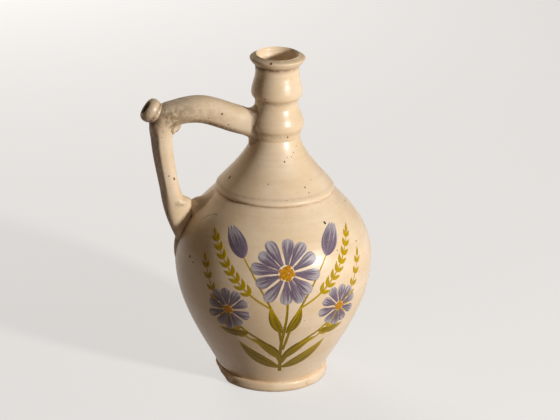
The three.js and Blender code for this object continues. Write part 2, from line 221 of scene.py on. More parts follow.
# Finish of the glaze and the paint
GLAZE_SPECULAR = 0.4
GLAZE_COAT = 0.06
COAT_ROUGHNESS = 0.2
WORN_ROUGHNESS = 0.8
PAINT_SPECULAR = 0.15


def linear(*colour):
    """A colour as written in a picture editor, as the linear RGBA that shader sockets take."""
    shares = np.array(colour) / 255
    low = shares / 12.92
    high = ((shares + 0.055) / 1.055) ** 2.4
    return (*np.where(shares <= 0.04045, low, high), 1.0)


# Colours of the clay, the glaze, the paint and the floor
CREAM = linear(233, 206, 169)
PALE_CREAM = linear(241, 218, 187)
DEEP_CREAM = linear(220, 188, 147)
# Brown of iron flecks and dirt, and of painted shade in seams, the crook, the leg's outer side and the
# tongue
DIRT_AND_SHADE_BROWN = linear(112, 76, 46)
SMUDGE_BROWN = linear(142, 118, 86)
CLAY = linear(190, 150, 108)
# Brown of pinholes, and of painted shade in the nipple's mouth
PIT_AND_MOUTH_SHADE_BROWN = linear(54, 36, 24)
VIOLET_DARK = linear(98, 85, 100)
VIOLET = linear(134, 117, 130)
VIOLET_PALE = linear(192, 183, 183)
OCHRE = linear(212, 150, 22)
OCHRE_DARK = linear(160, 100, 14)
OLIVE = linear(158, 130, 4)
OLIVE_DARK = linear(106, 86, 8)
OLIVE_YELLOW = linear(198, 162, 6)
FLOOR_PALE = linear(240, 237, 234)
FLOOR_BOUNCE = linear(128, 108, 86)


# Lines and curves


def smooth_line(points, per_span=POINTS_PER_SPAN, power=0.5):
    """A Catmull-Rom curve through points. Power 0.5 is centripetal, 0 gives even spans."""
    points = np.asarray(points, float)
    first = 2 * points[0] - points[1]
    last = 2 * points[-1] - points[-2]
    padded = np.vstack([first, points, last])
    gaps = np.linalg.norm(np.diff(padded, axis=0), axis=1) ** power
    curve = []
    for i in range(len(points) - 1):
        p0, p1, p2, p3 = padded[i:i + 4]
        g0, g1, g2 = gaps[i:i + 3]
        leave = ((p1 - p0) / g0 - (p2 - p0) / (g0 + g1) + (p2 - p1) / g1) * g1
        arrive = ((p2 - p1) / g1 - (p3 - p1) / (g1 + g2) + (p3 - p2) / g2) * g1
        t = np.arange(per_span)[:, None] / per_span
        bend = 2 * p1 - 2 * p2 + leave + arrive
        lean = 3 * p2 - 3 * p1 - 2 * leave - arrive
        curve.append(((bend * t + lean) * t + leave) * t + p1)
    return np.vstack([*curve, points[-1:]])


def smooth_share(values, low, high):
    """0 up to low, 1 from high on and a smooth change between. Low may be the greater."""
    share = np.clip((values - low) / (high - low), 0, 1)
    return share * share * (3 - 2 * share)


def line_reach(line):
    """Length of a line from its start to each of its points."""
    return np.concatenate([[0], np.cumsum(np.linalg.norm(np.diff(line, axis=0), axis=1))])


def headings(line):
    """Directions along a line at each of its points."""
    steps = np.gradient(line, axis=0)
    return steps / np.linalg.norm(steps, axis=1, keepdims=True)


def round_axis(radius, turns, heights):
    return np.stack([radius * np.cos(turns), radius * np.sin(turns), heights], -1)


def turned_lines(node):
    """Outer and inner lines of a turned CAD node, as radius and height from the bottom up."""
    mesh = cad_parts[node].data
    outer, inner = {}, {}
    for face in mesh.polygons:
        outwards = face.normal.x * face.center.x + face.normal.y * face.center.y
        if face.center.x <= 0 or abs(outwards) < 1e-6:
            continue
        line = outer if outwards > 0 else inner
        for index in face.vertices:
            place = mesh.vertices[index].co
            line[round(place.z, 6)] = math.hypot(place.x, place.y)
    return [np.array([(r, z) for z, r in sorted(line.items())]) for line in (outer, inner)]


WALL_NODES = ("base_disc", "belly", "shoulder", "neck", "lip")
wall_lines = {node: [smooth_line(line) if len(line) else line for line in turned_lines(node)]
              for node in WALL_NODES}
whole_wall = np.vstack([wall_lines[node][0] for node in WALL_NODES])


def hump(values, middle, half_width):
    return np.exp(-(((values - middle) / half_width) ** 2))


def bearing_gap(bearings, middle):
    """Degrees between bearings and a middle bearing, from -180 to 180."""
    return (bearings - middle + 180) % 360 - 180


def chip_depths(bearings, heights):
    """Depth of each chip in the foot's edge."""
    below_belly = np.clip((FOOT_EDGE_TOP - heights) / FOOT_EDGE_FADE, 0, 1)
    for bearing, half_width, depth, half_height in FOOT_CHIPS:
        beside = bearing_gap(bearings, bearing) + CHIP_WANDER * np.sin(heights * 2600 + bearing)
        across = np.exp(-((beside / half_width) ** 4))
        yield depth * MM * across * hump(heights, FOOT_CHIP_HEIGHT, half_height * MM) * below_belly


def lip_top(bearings, heights, back, front):
    """A depth on the lip's top, given at the back and front, and 0 further down."""
    share = (1 - np.sin(np.radians(bearings))) / 2
    return (back + (front - back) * share) * smooth_share(heights, LIP_SLOPE_START, cad_box[1].z)


def dents(bearings, heights):
    """How far the wall's skin lies inside the solids."""
    turn = np.radians(bearings)
    oval = 2 + np.sin(2 * turn + 0.7 + 9 * heights) + np.sin(3 * turn + 2.1 - 14 * heights)
    spiral = 1 + np.sin(2 * np.pi * heights / THROWING_PITCH - turn)
    depth = SKIN_INSET + OVALITY * oval / 4 + THROWING_RIDGE * spiral / 2
    for height, sink, half_width in UNDERCUTS:
        depth = depth + sink * hump(heights, height, half_width)
    depth = depth + sum(chip_depths(bearings, heights))
    return depth + lip_top(bearings, heights, *LIP_INSET)


def solid_radius(heights):
    return np.interp(heights, whole_wall[:, 1], whole_wall[:, 0])


def wall_radius(bearings, heights):
    return solid_radius(heights) - dents(bearings, heights)


def wall_slope(heights):
    """How fast the wall's radius grows with height."""
    step = 0.2 * MM
    return (solid_radius(heights + step) - solid_radius(heights - step)) / (2 * step)


def on_wall(bearings, heights, lift):
    """Points on the jug's skin, lifted off along its normal."""
    slope = wall_slope(heights)
    steep = np.sqrt(1 + slope ** 2)
    radius = wall_radius(bearings, heights) + lift / steep
    heights = heights - lip_top(bearings, heights, *LIP_SINK) - lift * slope / steep
    return round_axis(radius, np.radians(bearings), heights)


# Handle's line and skin


handle_line = smooth_line(HANDLE_STATIONS[:, :2], RINGS_PER_STATION)
handle_thickness = smooth_line(HANDLE_STATIONS[:, 2:], RINGS_PER_STATION, power=0)[:, 0]
handle_station = np.arange(len(handle_line)) / RINGS_PER_STATION
handle_middle = np.stack([-handle_line[:, 0], np.zeros(len(handle_line)), handle_line[:, 1]], -1)
handle_outwards = np.cross([0.0, 1.0, 0.0], headings(handle_middle))
handle_turns = np.linspace(0, 2 * np.pi, HANDLE_SIDES, endpoint=False)
collar_swell = COLLAR_SWELL * smooth_share(handle_station, COLLAR_START, COLLAR_FULL)
leg_bevel = smooth_share(handle_station, *LEG_BEVEL_START) * smooth_share(handle_station, *LEG_BEVEL_END)


def handle_skin(extra):
    """Points of the handle's surface, with extra thickness for every ring and side.

    Turn 0 points out of the loop and a quarter turn along +Y. The section is a slightly squared round,
    with bevelled outer corners on the leg.
    """
    cosine, sine = np.cos(handle_turns), np.sin(handle_turns)
    power = HANDLE_SQUARENESS
    bulge = (np.abs(cosine) ** power + np.abs(sine) ** power) ** (-1 / power)
    from_bevel = np.minimum(handle_turns, 2 * np.pi - handle_turns) - LEG_BEVEL_TURN
    bevel = LEG_BEVEL_PLACE / np.clip(np.cos(from_bevel), 0.3, 1)
    sharp = LEG_BEVEL_SHARPNESS
    pressed = (bulge ** -sharp + bevel ** -sharp) ** (-1 / sharp)
    bulge = bulge + leg_bevel[:, None] * (pressed - bulge)
    half = handle_thickness[:, None] / 2 * bulge + HANDLE_BREADTH_EXTRA / 2 * sine ** 2 + extra
    aside = np.array([0.0, 1.0, 0.0])
    steps = handle_outwards[:, None, :] * cosine[None, :, None] + aside * sine[None, :, None]
    return handle_middle[:, None, :] + steps * half[..., None]


def handle_gap(points):
    """Rough distance from points to the skin of the handle with its collar."""
    gap = np.full(points.shape[:-1], np.inf)
    for middle, thickness, swell in zip(handle_middle, handle_thickness, collar_swell):
        gap = np.minimum(gap, np.linalg.norm(points - middle, axis=-1) - thickness / 2 - swell)
    return gap


# Mesh helpers

CREASE_ANGLE = math.radians(50)


def band_faces(rings, sides, closed=False):
    """Quads between rings of points. Closed joins the last ring to the first."""
    ring, side = np.meshgrid(np.arange(rings if closed else rings - 1), np.arange(sides), indexing="ij")
    after = (ring + 1) % rings
    beside = (side + 1) % sides
    quads = [ring * sides + side, ring * sides + beside, after * sides + beside, after * sides + side]
    return [tuple(quad) for quad in np.stack(quads, -1).reshape(-1, 4).tolist()]


def tube_faces(rings, sides, flipped=False):
    """Faces of a tube of rings, closed at both ends. Flipped turns them the other way."""
    end = (rings - 1) * sides
    ends = [tuple(range(sides - 1, -1, -1)), tuple(range(end, end + sides))]
    faces = band_faces(rings, sides) + ends
    return [face[::-1] for face in faces] if flipped else faces


def make_piece(name, points, faces, material, attributes=None):
    mesh = bpy.data.meshes.new(name)
    mesh.from_pydata(np.asarray(points).reshape(-1, 3).tolist(), [], faces)
    mesh.polygons.foreach_set("use_smooth", [True] * len(mesh.polygons))
    mesh.set_sharp_from_angle(angle=CREASE_ANGLE)
    for label, values in (attributes or {}).items():
        layer = mesh.attributes.new(label, "FLOAT", "POINT")
        layer.data.foreach_set("value", np.asarray(values, np.float32).ravel())
    mesh.materials.append(material)
    piece = bpy.data.objects.new(name, mesh)
    bpy.context.scene.collection.objects.link(piece)
    return piece


def join_frame(piece, slot, *nodes):
    """Fixes a piece to the one body and hides the solids it stands for. The slot is not used."""
    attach(piece, "root")
    if nodes:
        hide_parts(*nodes)


def add_tube(name, points, material, layers, slot, node, flipped=False):
    """A closed tube through rings of points, which stands for one solid."""
    faces = tube_faces(*points.shape[:2], flipped)
    join_frame(make_piece(name, points, faces, material, layers), slot, node)


# Materials


class Shader:
    """A Principled material, with short calls for the nodes that colour it."""

    def __init__(self, name, roughness, specular=GLAZE_SPECULAR, coat=0.0):
        self.material = bpy.data.materials.new(name)
        self.material.use_nodes = True
        self.tree = self.material.node_tree
        self.surface = self.tree.nodes["Principled BSDF"]
        finish = {"Roughness": roughness, "Specular IOR Level": specular, "Coat Weight": coat,
                  "Coat Roughness": COAT_ROUGHNESS}
        for socket, value in finish.items():
            self.surface.inputs[socket].default_value = value
        self.place = self.tree.nodes.new("ShaderNodeTexCoord").outputs["Object"]

    def feed(self, socket, value):
        if isinstance(value, bpy.types.NodeSocket):
            self.tree.links.new(value, socket)
        else:
            socket.default_value = value

    def node(self, kind, settings, inputs):
        """A new node, its inputs set or linked by their names or numbers."""
        made = self.tree.nodes.new(kind)
        for label, value in settings.items():
            setattr(made, label, value)
        for socket, value in inputs.items():
            self.feed(made.inputs[socket], value)
        return made

    def noise(self, scale, detail=3.0, roughness=0.55, vector=None):
        inputs = {"Scale": scale, "Detail": detail, "Roughness": roughness,
                  "Vector": self.place if vector is None else vector}
        return self.node("ShaderNodeTexNoise", {}, inputs).outputs["Fac"]

    def stretched(self, vector, *factors):
        made = self.node("ShaderNodeVectorMath", {"operation": "MULTIPLY"}, {0: vector, 1: factors})
        return made.outputs["Vector"]

    def attribute(self, label):
        return self.node("ShaderNodeAttribute", {"attribute_name": label}, {}).outputs["Fac"]

    def span(self, value, low, high, out_low=0.0, out_high=1.0):
        """Value from low to high as a smooth share between two outputs."""
        inputs = {"Value": value, "From Min": low, "From Max": high, "To Min": out_low, "To Max": out_high}
        made = self.node("ShaderNodeMapRange", {"interpolation_type": "SMOOTHSTEP"}, inputs)
        return made.outputs["Result"]

    def times(self, first, second):
        return self.math("MULTIPLY", first, second)

    def math(self, operation, first, second):
        settings = {"operation": operation, "use_clamp": True}
        return self.node("ShaderNodeMath", settings, {0: first, 1: second}).outputs["Value"]

    def blend(self, share, first, second):
        inputs = {0: share, 6: first, 7: second}
        return self.node("ShaderNodeMix", {"data_type": "RGBA"}, inputs).outputs[2]

    def bump(self, height, strength, distance):
        below = self.surface.inputs["Normal"].links
        inputs = {"Height": height, "Strength": strength, "Distance": distance}
        made = self.node("ShaderNodeBump", {}, inputs)
        if below:
            self.feed(made.inputs["Normal"], below[0].from_socket)
        self.feed(self.surface.inputs["Normal"], made.outputs["Normal"])

    def colour(self, socket):
        self.feed(self.surface.inputs["Base Color"], socket)


def glaze(name, roughness, smudging):
    """Cream glaze: soft clouds, throwing bands, iron flecks, dirt and painted shade from one attribute,
    and bare clay at chips.
    """
    shade = Shader(name, roughness, coat=GLAZE_COAT)
    clouds = shade.span(shade.noise(32, detail=4), 0.36, 0.66)
    rings = shade.noise(1.0, detail=4, vector=shade.stretched(shade.place, 12, 12, 420))
    bands = shade.span(rings, 0.42, 0.72)
    flecks = shade.span(shade.noise(700, detail=2), 0.70, 0.76)
    smudges = shade.span(shade.noise(190, detail=6, roughness=0.7), 0.40, 0.58, 0.25, 1.0)
    smudges = shade.times(smudges, shade.attribute("smudge"))
    patchy = shade.span(shade.noise(300, detail=5), 0.28, 0.62, 0.4, 1.0)
    # The attribute darkens alike for dirt and for painted shade.
    dirt_and_shade = shade.times(shade.attribute("dirt_and_shade"), patchy)
    ragged = shade.span(shade.noise(420, detail=3), 0.35, 0.65, -0.25, 0.25)
    bare = shade.math("ADD", shade.attribute("bare"), ragged)
    bare = shade.times(shade.span(bare, 0.42, 0.58), shade.span(shade.attribute("bare"), 0.05, 0.2))
    grain = shade.blend(shade.noise(1200, detail=3), CLAY, DEEP_CREAM)
    colour = shade.blend(clouds, CREAM, PALE_CREAM)
    for share, strength, tint in (
        (bands, 0.25, DEEP_CREAM),
        (flecks, 0.55, DIRT_AND_SHADE_BROWN),
        (smudges, smudging, SMUDGE_BROWN),
        (dirt_and_shade, 1.0, DIRT_AND_SHADE_BROWN),
        (bare, 1.0, grain),
    ):
        colour = shade.blend(shade.times(share, strength), colour, tint)
    shade.colour(colour)
    dull = shade.math("MAXIMUM", shade.times(dirt_and_shade, 0.75), bare)
    shade.feed(shade.surface.inputs["Roughness"], shade.span(dull, 0, 1, roughness, WORN_ROUGHNESS))
    shade.bump(shade.noise(60, detail=2), 0.25, 0.6 * MM)
    shade.bump(shade.noise(900, detail=2), 0.08, 0.12 * MM)
    return shade.material


def pit_and_mouth_shade_material():
    """The dark burnt-out bottom of a pinhole in the glaze, also laid in the nipple's mouth as painted
    shade.
    """
    shade = Shader("pit_brown_and_mouth_shade", 0.7)
    shade.colour(shade.blend(shade.noise(2500), PIT_AND_MOUTH_SHADE_BROWN, DIRT_AND_SHADE_BROWN))
    shade.bump(shade.noise(3000), 0.5, 0.1 * MM)
    return shade.material


def paint(name, dark, body, pale, tip_from):
    """Brushed colour under the glaze, streaked along each stroke and paler towards its tip."""
    shade = Shader(name, 0.3, specular=PAINT_SPECULAR)
    along = shade.attribute("along")
    parts = {"X": shade.attribute("across"), "Y": along, "Z": shade.attribute("stroke")}
    place = shade.node("ShaderNodeCombineXYZ", {}, parts).outputs["Vector"]
    streak = shade.noise(1.0, detail=4, roughness=0.6, vector=shade.stretched(place, 5.0, 1.1, 7.3))
    colour = shade.blend(shade.span(streak, 0.34, 0.62), dark, body)
    tips = shade.math("ADD", along, shade.span(streak, 0.3, 0.7, -0.3, 0.3))
    colour = shade.blend(shade.span(tips, tip_from, 1.05, 0, 0.9), colour, pale)
    thin = shade.span(shade.noise(800, detail=3), 0.62, 0.74)
    shade.colour(shade.blend(shade.times(thin, 0.45), colour, CREAM))
    shade.bump(streak, 0.2, 0.1 * MM)
    return shade.material


cream_glaze = glaze("cream_glaze", 0.35, smudging=0.0)
worn_glaze = glaze("worn_glaze", 0.4, smudging=0.35)
handle_glaze = glaze("handle_glaze", 0.35, smudging=0.9)
pit_brown_and_mouth_shade = pit_and_mouth_shade_material()
violet_paint = paint("violet_paint", VIOLET_DARK, VIOLET, VIOLET_PALE, tip_from=0.45)
ochre_paint = paint("ochre_paint", OCHRE_DARK, OCHRE, OCHRE, tip_from=0.8)
leaf_paint = paint("leaf_paint", OLIVE_DARK, OLIVE, OLIVE_YELLOW, tip_from=0.55)
sprig_paint = paint("sprig_paint", OLIVE, OLIVE_YELLOW, OLIVE_YELLOW, tip_from=0.6)


# Turned wall


def seam_shade(gap, reach, strength):
    """Painted shade along a seam, by the gap to the clay across it."""
    return strength * hump(np.clip(gap, 0, None), 0, reach)


def wall_darkening(bearings, heights):
    """Darkening in the wall's own creases, and painted shade where the handle touches it."""
    dirt_and_shade = seam_shade(handle_gap(on_wall(bearings, heights, 0.0)), *TOUCH_SEAM)
    near = 0.5 + 0.5 * np.cos(np.radians(bearings - DARKEST_CREASE_BEARING))
    uneven = WEAKEST_CREASE_SHARE + (1 - WEAKEST_CREASE_SHARE) * near ** 1.5
    for height, half_width, strength in CREASE_DARKENING:
        dirt_and_shade = dirt_and_shade + strength * uneven * hump(heights, height * MM, half_width * MM)
    return np.clip(dirt_and_shade, 0, 1)


def wall_bareness(bearings, heights):
    """1 where the glaze is gone: on the sole and in the foot's chips."""
    bare = 1 - heights / BARE_SOLE_HEIGHT
    for depth in chip_depths(bearings, heights):
        bare = np.maximum(bare, depth / BARE_CHIP_DEPTH)
    return np.clip(bare, 0, 1)


def wall_piece(name, node, material, slot):
    """One thrown section: its outside uneven, its inside plain, closed at both ends."""
    outer, inner = wall_lines[node]
    around = np.linspace(0, 360, WALL_SIDES, endpoint=False)
    bearings, heights = np.meshgrid(around, np.clip(outer[:, 1], 0, None))
    radius = outer[:, 0:1] - dents(bearings, heights)
    layers = {
        # Crease darkening, and painted shade where the handle touches the wall
        "dirt_and_shade": wall_darkening(bearings, heights),
        "bare": wall_bareness(bearings, heights),
        "smudge": hump(heights, cad_box[1].z, LIP_SMUDGE_DEPTH),
    }
    faces = tube_faces(len(outer), WALL_SIDES)
    if len(inner):
        inside_radius, inside_heights = np.repeat(inner[::-1].T[..., None], WALL_SIDES, axis=2)
        in_crest = np.minimum(inside_radius, radius[-1])
        inside_radius = np.where(inside_heights > LIP_SLOPE_START, in_crest, inside_radius)
        radius, heights = np.vstack([radius, inside_radius]), np.vstack([heights, inside_heights])
        layers = {label: np.pad(values, ((0, len(inner)), (0, 0))) for label, values in layers.items()}
        faces = band_faces(len(radius), WALL_SIDES, closed=True)
    heights = heights - lip_top(around, heights, *LIP_SINK)
    points = round_axis(radius, np.radians(around), heights)
    join_frame(make_piece(name, points, faces, material, layers), slot, node)


for wall_name, wall_node in zip(("foot", "belly_wall", "shoulder_cone", "neck_tube"), WALL_NODES):
    wall_piece(wall_name, wall_node, cream_glaze, "cream_glaze")
wall_piece("lip_ring", "lip", worn_glaze, "worn_glaze")


# Handle


def handle_unevenness():
    """Finger marks, the flatter top before the elbow and the leg's fuller inner side."""
    ring = handle_station[:, None]
    waves = np.sin(2.1 * ring + 2 * handle_turns) + np.sin(3.7 * ring - handle_turns + 1.0)
    inner, outer = (np.clip(side * np.cos(handle_turns), 0, 1) for side in (-1, 1))
    station, half_length, depth = ELBOW_PRESS
    pressed = FINGER_WAVES * (2 + waves) / 2 + depth * outer * hump(ring, station, half_length)
    return LEG_INNER_FULLNESS * inner * leg_bevel[:, None] - pressed


def painted_crook_shadow():
    """Painted shadow of the neck on the bridge's top, in a wedge that widens towards the neck."""
    turns = bearing_gap(np.degrees(handle_turns), 0)
    front_edge = np.interp(handle_station, CROOK_STATIONS, CROOK_TURNS)[:, None]
    wedge = smooth_share(turns, front_edge, front_edge + CROOK_EDGE)
    fade = smooth_share(turns, *CROOK_BACK) * smooth_share(handle_station, *CROOK_END)[:, None]
    return CROOK_SHADOW * wedge * fade


def handle_darkening_and_smudges():
    """Darkening on the handle, painted neck shadow in its crook, and elbow smudges, thinner on top to
    paint it lighter.
    """
    ring = handle_station[:, None]
    dirt_and_shade = painted_crook_shadow()
    for station, half_length, strength, start, full in HANDLE_DARKENING:
        around = smooth_share(np.cos(handle_turns), start, full)
        dirt_and_shade = dirt_and_shade + strength * around * hump(ring, station, half_length)
    before, after = SMUDGE_LENGTHS
    # Smudges thin out on top, which paints the top lighter, as if lit from above.
    below_top = SMUDGE_ON_TOP + (1 - SMUDGE_ON_TOP) * smooth_share(np.cos(handle_turns), 0.9, 0.2)
    smudge = hump(ring, SMUDGE_STATION, np.where(ring < SMUDGE_STATION, before, after)) * below_top
    return {"dirt_and_shade": np.clip(dirt_and_shade, 0, 1), "smudge": smudge}


nipple_matrix = Matrix.Translation(NIPPLE_START) @ Matrix.Rotation(NIPPLE_PITCH - math.pi / 2, 4, "Y")


def bore_cutter():
    """The drinking bore behind the nipple's mouth, as a plain plug to cut with."""
    bpy.ops.mesh.primitive_cylinder_add(radius=NIPPLE_BORE_RADIUS, depth=NIPPLE_BORE_LENGTH, vertices=48)
    plug = bpy.context.object
    plug.matrix_world = nipple_matrix @ Matrix.Translation((0, 0, NIPPLE_BORE_MIDDLE))
    return plug


def cut_away(piece, cutter):
    """Cuts one mesh out of another and deletes the cutter."""
    modifier = piece.modifiers.new("cut", "BOOLEAN")
    modifier.object = cutter
    modifier.operation = "DIFFERENCE"
    modifier.solver = "EXACT"
    graph = bpy.context.evaluated_depsgraph_get()
    piece.data = bpy.data.meshes.new_from_object(piece.evaluated_get(graph))
    piece.modifiers.clear()
    bpy.data.objects.remove(cutter)


def handle_tube():
    points = handle_skin(handle_unevenness())
    faces = tube_faces(len(points), HANDLE_SIDES)
    piece = make_piece("handle_tube", points, faces, handle_glaze, handle_darkening_and_smudges())
    cut_away(piece, bore_cutter())
    join_frame(piece, "cream_glaze", "handle_bridge", "handle_leg")


def wall_clearance(points):
    """How far points lie outside the wall's skin."""
    heights = points[..., 2]
    radius = np.hypot(points[..., 0], points[..., 1])
    bearings = np.degrees(np.arctan2(points[..., 1], points[..., 0]))
    return (radius - wall_radius(bearings, heights)) / np.sqrt(1 + wall_slope(heights) ** 2)


def fillet_swell(reach):
    """Extra thickness that rounds the handle's skin into the wall within reach of it.

    On a parabolic fillet the roots of swell and clearance add up to the root of the reach.
    """
    swell = np.zeros((len(handle_line), HANDLE_SIDES))
    open_still = np.ones_like(swell, bool)
    for step in range(int(np.max(reach) / FILLET_STEP) + 1):
        clearance = np.clip(wall_clearance(handle_skin(swell)), 0, None)
        wanted = np.clip(np.sqrt(reach) - np.sqrt(clearance), 0, None) ** 2
        open_still &= swell < wanted
        swell = np.where(open_still, (step + 1) * FILLET_STEP, swell)
    return swell


def neck_reach():
    """The fillet's reach at the neck for every side: furthest below, as a web to the shoulder."""
    above, below = (np.clip(side * np.cos(handle_turns), 0, 1) ** 2 for side in (1, -1))
    return NECK_FILLET @ np.stack([above, 1 - above - below, below])


def neck_luting_skirt():
    rings = NECK_LUTING_END * RINGS_PER_STATION + 1
    swell = fillet_swell(neck_reach())
    points = handle_skin(handle_unevenness() + swell - FILLET_SINK)[:rings]
    # Painted shade along the seam to the neck, and the painted shadow of the neck in the crook
    dirt_and_shade = np.maximum(seam_shade(wall_clearance(points), *NECK_SEAM), painted_crook_shadow()[:rings])
    add_tube("neck_luting_skirt", points, cream_glaze, {"dirt_and_shade": dirt_and_shade}, "cream_glaze", "neck_luting")


def collar_skin():
    """Points of the leg's spear-shaped foot, its inner side drawn out to the belly."""
    points = handle_skin(handle_unevenness() + collar_swell[:, None] - FILLET_SINK)
    drawn = COLLAR_DRAWN_FIRST * smooth_share(handle_station, COLLAR_START, COLLAR_CORNER[0])
    drawn = drawn + COLLAR_DRAWN_DOWN * smooth_share(handle_station, *COLLAR_CORNER)
    inner = np.clip(-np.cos(handle_turns), 0, 1) ** 2.2
    return points - handle_outwards[:, None, :] * (drawn[:, None] * inner)[..., None]


def foot_collar():
    """The leg's foot: a collar of clay that swells and then runs into the belly."""
    first = int(COLLAR_START * RINGS_PER_STATION)
    points = collar_skin()[first:]
    outer = smooth_share(np.cos(handle_turns), 0.3, 0.8)
    along = hump(handle_station[first:, None], *CRACKED_STATION)
    cracked = along * hump(np.degrees(handle_turns), *CRACKED_TURN)
    seam = seam_shade(wall_clearance(points), *FOOT_SEAM)
    # Painted shade on the collar's outer side and along its edge on the belly, over dirt in its cracks
    layers = {"dirt_and_shade": np.maximum(seam, np.maximum(0.5 * outer, 0.4 * cracked))}
    add_tube("belly_luting_collar", points, cream_glaze, layers, "cream_glaze", "belly_luting")


def wall_patch(name, aside, heights, lift, dirt_and_shade):
    """Luting clay on the belly: a closed sheet from grids of offsets, heights and lifts."""
    bearings = 180 + np.degrees(aside / wall_radius(180.0, heights))
    top = on_wall(bearings, heights, lift - FILLET_SINK)
    bottom = on_wall(bearings, heights, np.full_like(lift, -PATCH_DEPTH))
    rings = np.concatenate([top, bottom[:, ::-1]], axis=1)
    layers = {"dirt_and_shade": np.concatenate([dirt_and_shade, dirt_and_shade[:, ::-1]], axis=1)}
    add_tube(name, rings, cream_glaze, layers, "cream_glaze", "belly_luting", flipped=True)


def foot_web():
    """The low web of clay that eases the leg's inner side into the belly."""
    rows = smooth_line(WEB_ROWS, 6)[::-1]
    across = np.linspace(-1, 1, 41)
    heights = rows[:, 0:1] + 0 * across
    lift = np.clip(rows[:, 1:2], 0, None) * (1 - across ** 2) ** 1.5
    wall_patch("belly_luting_web", across * rows[:, 2:3], heights, lift, np.full_like(lift, 0.25))


def luting_tongue():
    """The ridge of clay drawn down the belly from the leg's foot, with painted shade along its front side
    under the foot.
    """
    rows, columns = np.linspace(TONGUE_TOP, TONGUE_TIP, 48), np.linspace(-1, 1, 25)
    heights, across = np.meshgrid(rows, columns, indexing="ij")
    share = (heights - TONGUE_TIP) / (TONGUE_TOP - TONGUE_TIP)
    half = TONGUE_HALF_BREADTH * share ** 0.6
    lift = TONGUE_THICKNESS * share ** 0.7 * (1 - np.abs(across) ** 1.6)
    # Painted shade along the tongue's front side, under the foot's edge
    dirt_and_shade = 0.95 * smooth_share(across, 0.15, 0.5) * smooth_share(share, 0.2, 0.6)
    wall_patch("belly_luting_tongue", across * half, heights, lift, dirt_and_shade)


def nipple_bead():
    """A rolled bead on a short neck at the elbow, its mouth's lining painted dark as shade."""
    line = smooth_line(NIPPLE_PROFILE)
    radius, height = line[:, 0:1], line[:, 1:2]
    pressed = NIPPLE_PRESS * (1 + np.sin(2 * handle_turns + 0.6)) / 2 * hump(height, *NIPPLE_BEAD)
    reach = radius - pressed * (radius > 6 * MM)
    along = height + 0 * handle_turns
    matrix = np.array(nipple_matrix)
    points = round_axis(reach, handle_turns, along) @ matrix[:3, :3].T + matrix[:3, 3]
    crease = hump(along, *NIPPLE_CREASE) * (radius > 7 * MM)
    below = smooth_share(-np.cos(handle_turns), -0.4, 0.7)
    layers = {"dirt_and_shade": 0.7 * crease + 0.35 * below, "smudge": np.ones_like(crease)}
    faces = band_faces(len(line), HANDLE_SIDES, closed=True)
    piece = make_piece("nipple_bead", points, faces, worn_glaze, layers)
    # The mouth's lining takes the pit brown as painted shade.
    piece.data.materials.append(pit_brown_and_mouth_shade)
    inside = np.arange(len(line)) >= np.flatnonzero(line[:, 0] < NIPPLE_MOUTH_RADIUS)[0]
    piece.data.polygons.foreach_set("material_index", np.repeat(inside, HANDLE_SIDES).astype(np.int32))
    join_frame(piece, "worn_glaze", "drinking_nipple")


def elbow_smear():
    """A torn ridge of clay pressed into the crook of the elbow."""
    sides, rings = 48, 32
    turns = np.linspace(0, 2 * np.pi, sides, endpoint=False)
    rise = np.linspace(0.02, np.pi - 0.02, rings)[:, None]
    x, y, z = np.sin(rise) * np.cos(turns), np.cos(rise) + 0 * turns, np.sin(rise) * np.sin(turns)
    ridges = 0.5 + 0.5 * np.sin(9 * x - 7 * z + 3 * np.sin(4 * y))
    torn = 1 - 0.2 * ridges ** 2 - 0.05 * np.sin(17 * y + 5 * x)
    index = HANDLE_ELBOW * RINGS_PER_STATION
    middle = handle_middle[index] - handle_outwards[index] * SMEAR_INSET + (0, 0, SMEAR_RISE)
    points = middle + np.stack([x, y, z], -1) * SMEAR_HALF * torn[..., None]
    layers = {"dirt_and_shade": 0.7 * (1 - ridges)}
    add_tube("elbow_smear", points, worn_glaze, layers, "worn_glaze", "elbow_luting")


handle_tube()
neck_luting_skirt()
foot_collar()
foot_web()
luting_tongue()
nipple_bead()
elbow_smear()


# Pinholes, flecks and a scratch, which show the clay through the glaze

# Bearing, height in mm and breadth in mm of the pits that stand out
PITS = (
    (-56, 163, 2.6), (-165, 191, 2.4), (-61, 190, 1.3), (-59, 186, 1.0), (-155, 128, 2.3),
    (-151, 125, 1.5), (-70, 230, 1.5), (-81, 210, 1.4), (-106, 194, 1.1), (-10, 166, 1.3),
    (-35, 142, 1.3), (-55, 142, 1.0), (-124, 264, 1.4), (-111, 297.2, 2.5), (-45, 220, 1.0),
    (-58, 216, 0.9), (-66, 213, 0.9), (35, 150, 1.8), (62, 96, 1.4), (104, 171, 1.6),
    (128, 118, 2.0), (80, 240, 1.3), (140, 68, 1.3), (20, 60, 1.5),
)
# Station, turn and breadth in mm of the handle's pits, and of the cracks in its foot
HANDLE_PITS = (
    (2.48, 286, 1.9), (2.78, 254, 0.9), (6.78, 258, 1.2), (6.9, 232, 1.9), (6.87, 233, 1.5),
    (5.42, 266, 1.0), (5.15, 330, 1.9), (4.47, 314, 1.0), (4.25, 286, 0.8), (2.22, 252, 1.0),
    (6.35, 280, 0.6), (6.1, 262, 0.5), (5.7, 272, 0.7), (7.2, 268, 0.6), (3.1, 60, 1.6),
    (6.0, 95, 1.8), (6.8, 120, 1.2), (2.2, 40, 1.3),
)
FOOT_CRACKS = (
    (7.98, 244, 0.7), (8.02, 256, 0.8), (8.08, 246, 0.5), (8.14, 252, 0.6), (8.2, 240, 0.7),
    (8.26, 234, 0.5), (8.5, 320, 1.5), (8.62, 324, 1.1), (8.8, 330, 1.6), (8.95, 334, 1.2),
)
# The scratch, in degrees and mm: bearing and height of its ends, bow, number of flecks and their breadths
SCRATCH_ENDS = ((-161, 157), (-149, 165))
SCRATCH_BOW = 2.2
SCRATCH_FLECKS = 11
SCRATCH_BREADTHS = (0.5, 1.1)
